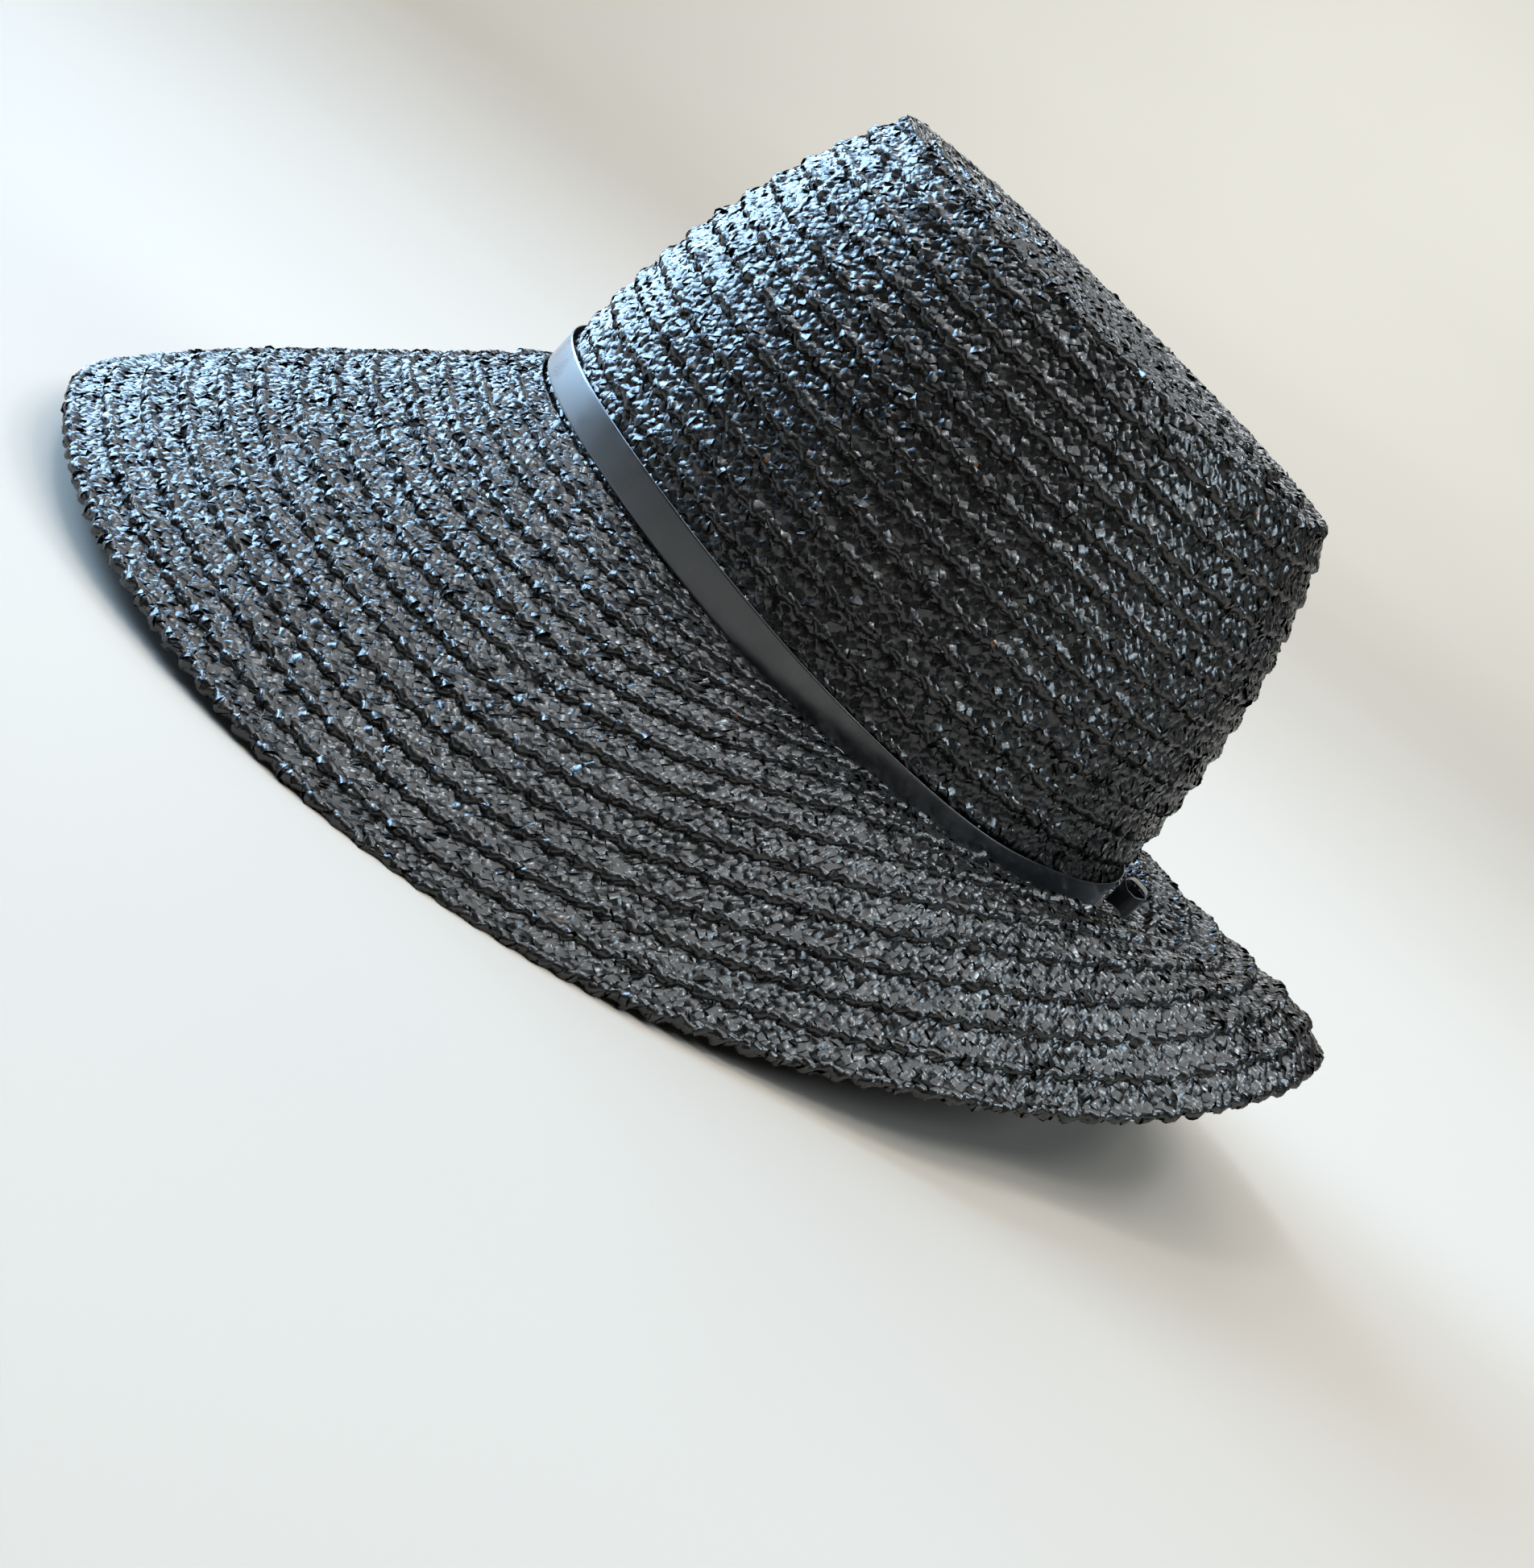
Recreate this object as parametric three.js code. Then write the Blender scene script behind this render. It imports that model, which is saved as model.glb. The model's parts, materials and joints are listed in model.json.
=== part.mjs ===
// A wide-brim hat of straw braid sewn in lapped rows, with a ribbon band and a small flat bow.
// Millimetres, +Z up. The hat's front faces -Y and the wearer's left is +X.
// It rests on the sides of its brim, tipped back a little, as such a hat does by itself.
import * as THREE from 'three';

// Driving dimensions, in millimetres and degrees
const SEGMENTS = 48; // facets round the hat
const WALL = 2; // thickness of the sewn straw
const LAP = 1.1; // step where one row lies over the next
const STEP_RUN = 0.8; // width of that step along the wall
const GAP = 0.3; // clearance between pieces that touch
const REST_TILT = 9.56; // how far the hat tips back on its brim

// The side's half sizes go from base to tip with the height to the power taper.
const CROWN = { height: 112, taper: 2.3, sideRows: 13, tipRows: 7, tipDome: 2, tipEye: 2 };
const CROWN_BASE = { halfLength: 101.5, halfWidth: 82.5, egg: 0.09 };
const CROWN_TIP = { halfLength: 76, halfWidth: 66, egg: 0.03 };

// Brim rows are counted inwards from the rim, so short ones run out under the band towards the back.
const BRIM = { pitch: 9.4, rows: 13, squeeze: 0.3, seatHeight: 1.4, arcSteps: 16 };
// One row for each section from front to back; slopes are degrees below level along the section.
// Behind the crown the brim rises to a roll, which hides the bow's dip from the side.
const BRIM_SECTIONS = [
  { turn: 0, width: 123, atCrown: 48, midway: 43, atRim: 53 },
  { turn: 30, width: 121, atCrown: 46, midway: 40, atRim: 45 },
  { turn: 60, width: 122, atCrown: 37, midway: 40, atRim: 29 },
  { turn: 90, width: 115, atCrown: 11, midway: 45, atRim: 22 },
  { turn: 120, width: 89, atCrown: -29, midway: 49, atRim: 33 },
  { turn: 135, width: 76, atCrown: -38, midway: 40, atRim: 29 },
  { turn: 150, width: 71, atCrown: -58, midway: 32, atRim: 36 },
  { turn: 165, width: 72, atCrown: -42, midway: -1, atRim: 40 },
  { turn: 180, width: 75, atCrown: 4, midway: -28, atRim: 42 },
];

const RIBBON = { width: 10, thickness: 0.8 };
// The bow's loops lie flat against the band; crest is where a loop is deepest, as a share of its length.
const BOW = { loopLength: 11, loopDepth: 8, height: 8, pinchDepth: 2.2, crest: 0.6, curvePoints: 9 };
const KNOT = { width: 5, corner: 0.8 };

const STRAW_FINISH = { color: 0x1b1815, roughness: 0.38, metalness: 0 };
const RIBBON_FINISH = { color: 0x1a1c1f, roughness: 0.45, metalness: 0 };

const TURNS = Array.from({ length: SEGMENTS }, (_, i) => (2 * Math.PI * i) / SEGMENTS);
const UP = new THREE.Vector3(0, 0, 1);
const CROWN_OUTSIDE = WALL / 2 + LAP / 2;
const SEAT_OFFSET = CROWN_OUTSIDE + GAP;

// Egg-shaped oval, narrower in front. A turn of 0 is the front and pi is the back.
function ovalPoint({ halfLength, halfWidth, egg }, turn) {
  const x = halfWidth * Math.sin(turn) * (1 - egg * Math.cos(turn));
  return new THREE.Vector3(x, -halfLength * Math.cos(turn), 0);
}

function ovalOutward({ halfLength, halfWidth, egg }, turn) {
  const alongX = halfWidth * (Math.cos(turn) - egg * Math.cos(2 * turn));
  const alongY = halfLength * Math.sin(turn);
  return new THREE.Vector3(alongY, -alongX, 0).normalize();
}

// The crown's middle surface: place 0 is the tip's centre, 1 the tip's edge and 2 the base.
function crownPoint(place, turn) {
  if (place <= 1) {
    const halfWidth = CROWN_TIP.halfWidth * place;
    const halfLength = halfWidth + CROWN_TIP.halfLength - CROWN_TIP.halfWidth;
    const point = ovalPoint({ halfLength, halfWidth, egg: CROWN_TIP.egg * place }, turn);
    point.z = CROWN.height + CROWN.tipDome * (1 - place * place);
    return point;
  }
  const level = 2 - place;
  const lean = level ** CROWN.taper;
  const oval = {
    halfLength: THREE.MathUtils.lerp(CROWN_BASE.halfLength, CROWN_TIP.halfLength, lean),
    halfWidth: THREE.MathUtils.lerp(CROWN_BASE.halfWidth, CROWN_TIP.halfWidth, lean),
    egg: THREE.MathUtils.lerp(CROWN_BASE.egg, CROWN_TIP.egg, level),
  };
  const point = ovalPoint(oval, turn);
  point.z = CROWN.height * level;
  return point;
}

// A ring of points off the crown's middle surface, outwards where offset is positive.
function crownRing(place, offset) {
  const nudge = 0.01;
  return TURNS.map((turn) => {
    const lower = crownPoint(Math.min(place + nudge, 2), turn);
    const upper = crownPoint(place - nudge, turn);
    const down = lower.sub(upper);
    const across = crownPoint(place, turn + nudge).sub(crownPoint(place, turn - nudge));
    const outward = down.cross(across).normalize();
    return crownPoint(place, turn).addScaledVector(outward, offset);
  });
}

// One column of the section table at any turn: a smooth curve through the sections, level at front and back.
function brimColumn(column, turn) {
  const last = BRIM_SECTIONS.length - 1;
  const fold = Math.abs(THREE.MathUtils.euclideanModulo(turn + Math.PI, 2 * Math.PI) - Math.PI);
  const degrees = THREE.MathUtils.radToDeg(fold);
  const start = Math.min(BRIM_SECTIONS.findLastIndex((section) => section.turn <= degrees), last - 1);
  const [from, to] = [BRIM_SECTIONS[start], BRIM_SECTIONS[start + 1]];
  const span = to.turn - from.turn;
  const lean = (i) => {
    if (i === 0 || i === last) return 0;
    const [before, after] = [BRIM_SECTIONS[i - 1], BRIM_SECTIONS[i + 1]];
    return (span * (after[column] - before[column])) / (after.turn - before.turn);
  };
  const [leanFrom, leanTo] = [lean(start), lean(start + 1)];
  const rise = to[column] - from[column];
  const square = 3 * rise - 2 * leanFrom - leanTo;
  const cubic = leanFrom + leanTo - 2 * rise;
  const t = (degrees - from.turn) / span;
  return from[column] + t * (leanFrom + t * (square + t * cubic));
}

function brimSection(turn) {
  const slope = (column) => THREE.MathUtils.degToRad(brimColumn(column, turn));
  return {
    width: brimColumn('width', turn),
    slopes: [slope('atCrown'), slope('midway'), slope('atRim')],
    outward: ovalOutward(CROWN_BASE, turn),
  };
}

// Slope of a brim section at a share of its width: a parabola through its three named slopes.
function slopeAt([atCrown, midway, atRim], share) {
  const nearCrown = atCrown * (1 - share) * (1 - 2 * share);
  const nearRim = atRim * share * (2 * share - 1);
  return nearCrown + 4 * midway * share * (1 - share) + nearRim;
}

// A point of the brim at a distance from the crown along its section, off the middle surface.
function brimPoint(turn, distance, offset) {
  const { width, slopes, outward } = brimSection(turn);
  const startOut = SEAT_OFFSET + Math.abs(Math.sin(slopes[0])) * CROWN_OUTSIDE;
  const point = ovalPoint(CROWN_BASE, turn).addScaledVector(outward, startOut);
  point.z = BRIM.seatHeight;
  const step = distance / BRIM.arcSteps;
  for (let i = 0; i < BRIM.arcSteps; i += 1) {
    const slope = slopeAt(slopes, ((i + 0.5) * step) / width);
    point.addScaledVector(outward, step * Math.cos(slope)).addScaledVector(UP, -step * Math.sin(slope));
  }
  const slope = slopeAt(slopes, distance / width);
  point.addScaledVector(outward, offset * Math.sin(slope)).addScaledVector(UP, offset * Math.cos(slope));
  return point;
}

// Distance from the crown to the rim side of a row; rows that run out are squeezed at the crown.
function rowEdge(turn, rowFromRim) {
  const least = (BRIM.rows - rowFromRim) * BRIM.squeeze;
  return rowFromRim >= BRIM.rows ? 0 : Math.max(brimColumn('width', turn) - rowFromRim * BRIM.pitch, least);
}

// The two rings of one brim row on one face: its sunk inner edge and its raised outer edge.
function brimRowRings(rowFromRim, face) {
  const edges = (turn) => {
    const inner = rowEdge(turn, rowFromRim + 1);
    const outer = rowEdge(turn, rowFromRim);
    const share = Math.min((outer - inner) / BRIM.pitch, 1);
    return { inner, outer, share };
  };
  const sunk = TURNS.map((turn) => {
    const { inner, share } = edges(turn);
    const run = rowFromRim + 1 >= BRIM.rows ? 0 : STEP_RUN * share;
    return brimPoint(turn, inner + run, (face * WALL - LAP * share) / 2);
  });
  const raised = TURNS.map((turn) => {
    const { outer, share } = edges(turn);
    return brimPoint(turn, outer, (face * WALL + LAP * share) / 2);
  });
  return [sunk, raised];
}

// A closed skin through rings of points. It joins the last ring to the first, or caps both ends.
function skin(rings, capped) {
  const vertices = rings.flat();
  const triangles = [];
  const index = (ring, i) => (ring % rings.length) * SEGMENTS + (i % SEGMENTS);
  const bands = capped ? rings.length - 1 : rings.length;
  for (let ring = 0; ring < bands; ring += 1) {
    for (let i = 0; i < SEGMENTS; i += 1) {
      const [a, b] = [index(ring, i), index(ring, i + 1)];
      const [c, d] = [index(ring + 1, i), index(ring + 1, i + 1)];
      triangles.push(a, c, b, b, c, d);
    }
  }
  if (capped) {
    const addCap = (ring, flip) => {
      const centre = vertices.length;
      const sum = rings[ring].reduce((total, point) => total.add(point), new THREE.Vector3());
      vertices.push(sum.divideScalar(SEGMENTS));
      for (let i = 0; i < SEGMENTS; i += 1) {
        const [a, b] = [index(ring, i), index(ring, i + 1)];
        triangles.push(centre, flip ? b : a, flip ? a : b);
      }
    };
    addCap(0, false);
    addCap(rings.length - 1, true);
  }
  const geometry = new THREE.BufferGeometry().setFromPoints(vertices);
  geometry.setIndex(triangles);
  geometry.computeVertexNormals();
  return geometry;
}

function crownGeometry() {
  const rowEnds = [];
  for (let row = 1; row <= CROWN.tipRows; row += 1) {
    rowEnds.push({ place: row / CROWN.tipRows, run: STEP_RUN / CROWN_TIP.halfWidth });
  }
  for (let row = 1; row <= CROWN.sideRows; row += 1) {
    rowEnds.push({ place: 1 + row / CROWN.sideRows, run: STEP_RUN / CROWN.height });
  }
  const eye = CROWN.tipEye / CROWN_TIP.halfWidth;
  const outside = [];
  let start = eye;
  for (const { place, run } of rowEnds) {
    outside.push(crownRing(start, (WALL - LAP) / 2));
    outside.push(crownRing(place, (WALL + LAP) / 2));
    start = place + run;
  }
  // The inside is plain: one ring for every second row, and one at the tip's edge and at the base.
  const insidePlaces = rowEnds.map(({ place }) => place).filter((_, i) => (i + CROWN.tipRows) % 2 === 1);
  insidePlaces.push(2);
  const inside = [eye, ...insidePlaces].map((place) => crownRing(place, -WALL / 2));
  return skin([...outside, ...inside.reverse()], true);
}

function brimGeometry() {
  const rowsFromCrown = Array.from({ length: BRIM.rows }, (_, i) => BRIM.rows - 1 - i);
  const upper = rowsFromCrown.flatMap((row) => brimRowRings(row, 1));
  const under = rowsFromCrown.flatMap((row) => brimRowRings(row, -1));
  return skin([...upper, ...under.reverse()], false);
}

// Height of the band's lower edge: just clear of the brim under the band's whole thickness.
function bandFoot(turn) {
  const slope = THREE.MathUtils.degToRad(brimColumn('atCrown', turn));
  const reach = (RIBBON.thickness + GAP) / Math.cos(slope);
  const atCrown = brimPoint(turn, 0, CROWN_OUTSIDE).z;
  const atFace = brimPoint(turn, reach, CROWN_OUTSIDE).z;
  return Math.max(atCrown, atFace) + GAP;
}

function bandGeometry() {
  const ring = (offset, rise) =>
    TURNS.map((turn) => {
      const point = ovalPoint(CROWN_BASE, turn);
      point.addScaledVector(ovalOutward(CROWN_BASE, turn), offset);
      point.z = bandFoot(turn) + rise;
      return point;
    });
  const outer = SEAT_OFFSET + RIBBON.thickness;
  const corners = [ring(SEAT_OFFSET, RIBBON.width), ring(outer, RIBBON.width), ring(outer, 0), ring(SEAT_OFFSET, 0)];
  return skin(corners, false);
}

// Half depth of a bow loop between its pinched middle and its crest.
function loopHalf(x) {
  const swell = (1 - Math.cos((Math.PI * x) / (BOW.loopLength * BOW.crest))) / 2;
  return THREE.MathUtils.lerp(BOW.pinchDepth, BOW.loopDepth, swell) / 2;
}

// Half outline of one bow loop along +X, drawn in from its outer edge by inset.
function loopSide(inset) {
  const crestX = BOW.loopLength * BOW.crest;
  const points = [];
  for (let i = 0; i <= BOW.curvePoints; i += 1) {
    const x = (crestX * i) / BOW.curvePoints;
    points.push(new THREE.Vector2(x, loopHalf(x) - inset));
  }
  for (let i = 1; i <= BOW.curvePoints; i += 1) {
    const angle = (Math.PI / 2) * (1 - i / BOW.curvePoints);
    const x = crestX + (BOW.loopLength - crestX - inset) * Math.cos(angle);
    points.push(new THREE.Vector2(x, (BOW.loopDepth / 2 - inset) * Math.sin(angle)));
  }
  return points;
}

// Height of the bow: its loops and its knot clear the brim, which rises behind the crown.
function bowFoot() {
  const loopTurn = Math.PI - Math.asin(BOW.loopLength / CROWN_BASE.halfWidth);
  const reach = RIBBON.thickness + BOW.loopDepth + 2 * GAP;
  const underLoop = brimPoint(loopTurn, reach, CROWN_OUTSIDE).z + GAP;
  const underKnot = brimPoint(Math.PI, reach, CROWN_OUTSIDE).z + RIBBON.thickness + 2 * GAP;
  return Math.max(underLoop, underKnot);
}

const mirrored = (points, sx, sy) => points.map(({ x, y }) => new THREE.Vector2(x * sx, y * sy));

function bowGeometry() {
  const side = loopSide(0);
  const inner = side.length - 1;
  const outline = [
    ...side.slice(0, inner),
    ...mirrored(side, 1, -1).reverse(),
    ...mirrored(side.slice(1, inner), -1, -1),
    ...mirrored(side.slice(1), -1, 1).reverse(),
  ];
  const shape = new THREE.Shape(outline.reverse());
  const room = loopSide(RIBBON.thickness).filter(({ y }) => y > RIBBON.thickness / 2);
  const hollow = [...room, ...mirrored(room, 1, -1).reverse()];
  shape.holes = [1, -1].map((sx) => new THREE.Path(mirrored(hollow, sx, 1)));
  return new THREE.ExtrudeGeometry(shape, { depth: BOW.height, bevelEnabled: false });
}

function roundedRectangle(width, height, corner, shape) {
  const [x, y] = [width / 2, height / 2];
  shape.moveTo(-x + corner, -y);
  shape.lineTo(x - corner, -y);
  shape.quadraticCurveTo(x, -y, x, -y + corner);
  shape.lineTo(x, y - corner);
  shape.quadraticCurveTo(x, y, x - corner, y);
  shape.lineTo(-x + corner, y);
  shape.quadraticCurveTo(-x, y, -x, y - corner);
  shape.lineTo(-x, -y + corner);
  shape.quadraticCurveTo(-x, -y, -x + corner, -y);
  return shape;
}

// The knot is a flat ring of ribbon round the bow's pinched middle, drawn across X and set upright.
function knotGeometry() {
  const holeDepth = 2 * (loopHalf(KNOT.width / 2) + GAP);
  const holeHeight = BOW.height + 2 * GAP;
  const ring = 2 * RIBBON.thickness;
  const outline = roundedRectangle(holeDepth + ring, holeHeight + ring, KNOT.corner, new THREE.Shape());
  outline.holes = [roundedRectangle(holeDepth, holeHeight, KNOT.corner / 2, new THREE.Path())];
  const geometry = new THREE.ExtrudeGeometry(outline, { depth: KNOT.width, bevelEnabled: false, curveSegments: 3 });
  geometry.translate(0, 0, -KNOT.width / 2);
  geometry.rotateX(Math.PI / 2);
  geometry.rotateZ(Math.PI / 2);
  return geometry;
}

function namedMesh(name, geometry, finish) {
  const mesh = new THREE.Mesh(geometry, new THREE.MeshStandardMaterial(finish));
  mesh.name = name;
  return mesh;
}

function buildHat() {
  const hat = new THREE.Group();
  hat.add(namedMesh('crown', crownGeometry(), STRAW_FINISH));
  hat.add(namedMesh('brim', brimGeometry(), STRAW_FINISH));
  hat.add(namedMesh('ribbon_band', bandGeometry(), RIBBON_FINISH));
  const bow = new THREE.Group();
  bow.add(namedMesh('band_bow', bowGeometry(), RIBBON_FINISH));
  const knot = namedMesh('bow_knot', knotGeometry(), RIBBON_FINISH);
  knot.position.z = BOW.height / 2;
  bow.add(knot);
  const bandBack = CROWN_BASE.halfLength + SEAT_OFFSET + RIBBON.thickness;
  bow.position.set(0, bandBack + GAP + BOW.loopDepth / 2, bowFoot());
  hat.add(bow);
  return hat;
}

// Tips the hat back on its brim and sets it on the floor, centred over the origin.
function setAtRest(hat) {
  hat.rotation.x = -THREE.MathUtils.degToRad(REST_TILT);
  hat.updateMatrixWorld(true);
  const box = new THREE.Box3().setFromObject(hat, true);
  const centre = box.getCenter(new THREE.Vector3());
  hat.position.set(-centre.x, -centre.y, -box.min.z);
  const scene = new THREE.Group();
  scene.add(hat);
  return scene;
}

export default setAtRest(buildHat());
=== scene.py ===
"""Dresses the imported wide-brim hat: plaited straw in lapped rows, a satin band and a small flat bow.

Forms are in millimetres in the hat's own frame, with its front towards -Y and the wearer's left at +X.
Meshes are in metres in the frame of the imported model, where the hat rests tipped back on its brim.
"""

import json
import logging
import math
from dataclasses import dataclass, field
from enum import Enum

import bpy
import bmesh
import numpy as np
from mathutils import Matrix, Vector


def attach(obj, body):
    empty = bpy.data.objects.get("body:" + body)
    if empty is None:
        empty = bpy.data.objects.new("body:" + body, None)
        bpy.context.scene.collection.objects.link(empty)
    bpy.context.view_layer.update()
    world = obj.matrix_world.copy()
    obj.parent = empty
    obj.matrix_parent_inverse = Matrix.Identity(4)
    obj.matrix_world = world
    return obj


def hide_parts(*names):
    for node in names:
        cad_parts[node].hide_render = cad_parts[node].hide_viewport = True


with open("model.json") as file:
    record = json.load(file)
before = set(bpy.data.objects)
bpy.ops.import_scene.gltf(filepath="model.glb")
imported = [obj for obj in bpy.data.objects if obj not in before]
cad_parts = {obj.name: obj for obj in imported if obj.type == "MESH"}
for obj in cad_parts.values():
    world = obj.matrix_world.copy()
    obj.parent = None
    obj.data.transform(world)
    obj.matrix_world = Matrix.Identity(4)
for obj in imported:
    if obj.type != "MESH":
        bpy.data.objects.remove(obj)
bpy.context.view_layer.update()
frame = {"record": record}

Array = np.ndarray
Triple = tuple[float, float, float]
Colour = tuple[float, float, float, float]
Socket = bpy.types.NodeSocket

MM = 0.001
FULL_TURN = 2.0 * math.pi
UP = (0.0, 0.0, 1.0)
TINY = 1e-9
BODY = "root"
TONE = "straw_tone"
COPPER_TONE = 1.0
RIBBON_PLACE = "ribbon_place"
BAKE_MAP = "OFBake"
SEED = 41

log = logging.getLogger("straw_hat")


class Slot(Enum):
    """The record's material slots."""

    STRAW = "straw"
    RIBBON = "ribbon"


class Node(Enum):
    """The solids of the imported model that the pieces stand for."""

    CROWN = "crown"
    BRIM = "brim"
    BAND = "ribbon_band"
    BOW = "band_bow"
    KNOT = "bow_knot"


class Face(Enum):
    """The two faces of a row of braid, and the side of the wall that each lies on."""

    OUTER = 1
    INNER = -1


def unit(vectors: Array) -> Array:
    """Scales vectors to length one.

    Args:
        vectors: Vectors in the last axis.

    Returns:
        The same directions; a vector with no length becomes straight up.
    """
    length = np.linalg.norm(vectors, axis=-1, keepdims=True)
    return np.where(length > TINY, vectors / np.maximum(length, TINY), np.array(UP))


def lerp(start: float | Array, end: float | Array, share: float | Array) -> float | Array:
    """Mixes two values, all start at share 0 and all end at share 1."""
    return start + (end - start) * share


# Forms


@dataclass(frozen=True)
class Oval:
    """Egg-shaped oval, narrower in front; a turn of 0 is the front and pi is the back."""

    half_length: float | Array
    half_width: float | Array
    egg: float | Array

    def point(self, turn: Array) -> Array:
        """The oval's points in plan at these turns."""
        x = self.half_width * np.sin(turn) * (1 - self.egg * np.cos(turn))
        return np.stack([x, -self.half_length * np.cos(turn)], -1)

    def outward(self, turn: Array) -> Array:
        """The oval's outward directions in plan.

        Args:
            turn: Turns from the front, in radians.

        Returns:
            Directions of length one.
        """
        along_x = self.half_width * (np.cos(turn) - self.egg * np.cos(2 * turn))
        along_y = self.half_length * np.sin(turn)
        normal = np.stack([along_y, -along_x], -1)
        return normal / np.linalg.norm(normal, axis=-1, keepdims=True)


@dataclass(frozen=True)
class Straw:
    """The sewn wall that crown and brim share."""

    wall: float = 2.0
    lap: float = 1.1
    gap: float = 0.3

    @property
    def outside(self) -> float:
        """How far a raised row edge stands off the wall's middle surface."""
        return (self.wall + self.lap) / 2

    @property
    def seat(self) -> float:
        """How far the band and brim start from the crown's middle surface."""
        return self.outside + self.gap


@dataclass(frozen=True)
class CrownForm:
    """Middle surface of the crown: place 0 is the tip's centre, 1 the tip's edge and 2 the base."""

    height: float = 112.0
    taper: float = 2.3
    side_rows: int = 13
    tip_rows: int = 7
    tip_dome: float = 2.0
    base: Oval = Oval(101.5, 82.5, 0.09)
    tip: Oval = Oval(76.0, 66.0, 0.03)
    nudge: float = 0.01

    def point(self, place: Array, turn: Array) -> Array:
        """Points of the middle surface.

        Args:
            place: Places from the tip's centre to the base.
            turn: Turns from the front, in radians.

        Returns:
            Points in the hat's frame.
        """
        place, turn = np.broadcast_arrays(np.asarray(place, float), np.asarray(turn, float))
        on_tip = place <= 1
        level = np.clip(2 - place, 0, 1)
        lean = level**self.taper
        tip_width = self.tip.half_width * place
        half_width = np.where(on_tip, tip_width, lerp(self.base.half_width, self.tip.half_width, lean))
        tip_length = tip_width + self.tip.half_length - self.tip.half_width
        half_length = np.where(on_tip, tip_length, lerp(self.base.half_length, self.tip.half_length, lean))
        egg = np.where(on_tip, self.tip.egg * place, lerp(self.base.egg, self.tip.egg, level))
        dome = self.height + self.tip_dome * (1 - place**2)
        z = np.where(on_tip, dome, self.height * level)
        plan = Oval(half_length, half_width, egg).point(turn)
        return np.concatenate([plan, z[..., None]], -1)

    def surface(self, place: Array, turn: Array, lift: Array) -> Array:
        """Points off the middle surface.

        Args:
            place: Places from the tip's centre to the base.
            turn: Turns from the front, in radians.
            lift: Offsets from the middle surface, outwards where positive.

        Returns:
            Points in the hat's frame.
        """
        down = self.point(np.minimum(place + self.nudge, 2), turn) - self.point(place - self.nudge, turn)
        across = self.point(place, turn + self.nudge) - self.point(place, turn - self.nudge)
        outward = unit(np.cross(down, across))
        return self.point(place, turn) + outward * np.asarray(lift)[..., None]


@dataclass(frozen=True)
class BrimSection:
    """One section of the brim: its width, and its slopes in degrees below level."""

    turn: float
    width: float
    at_crown: float
    midway: float
    at_rim: float


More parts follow.
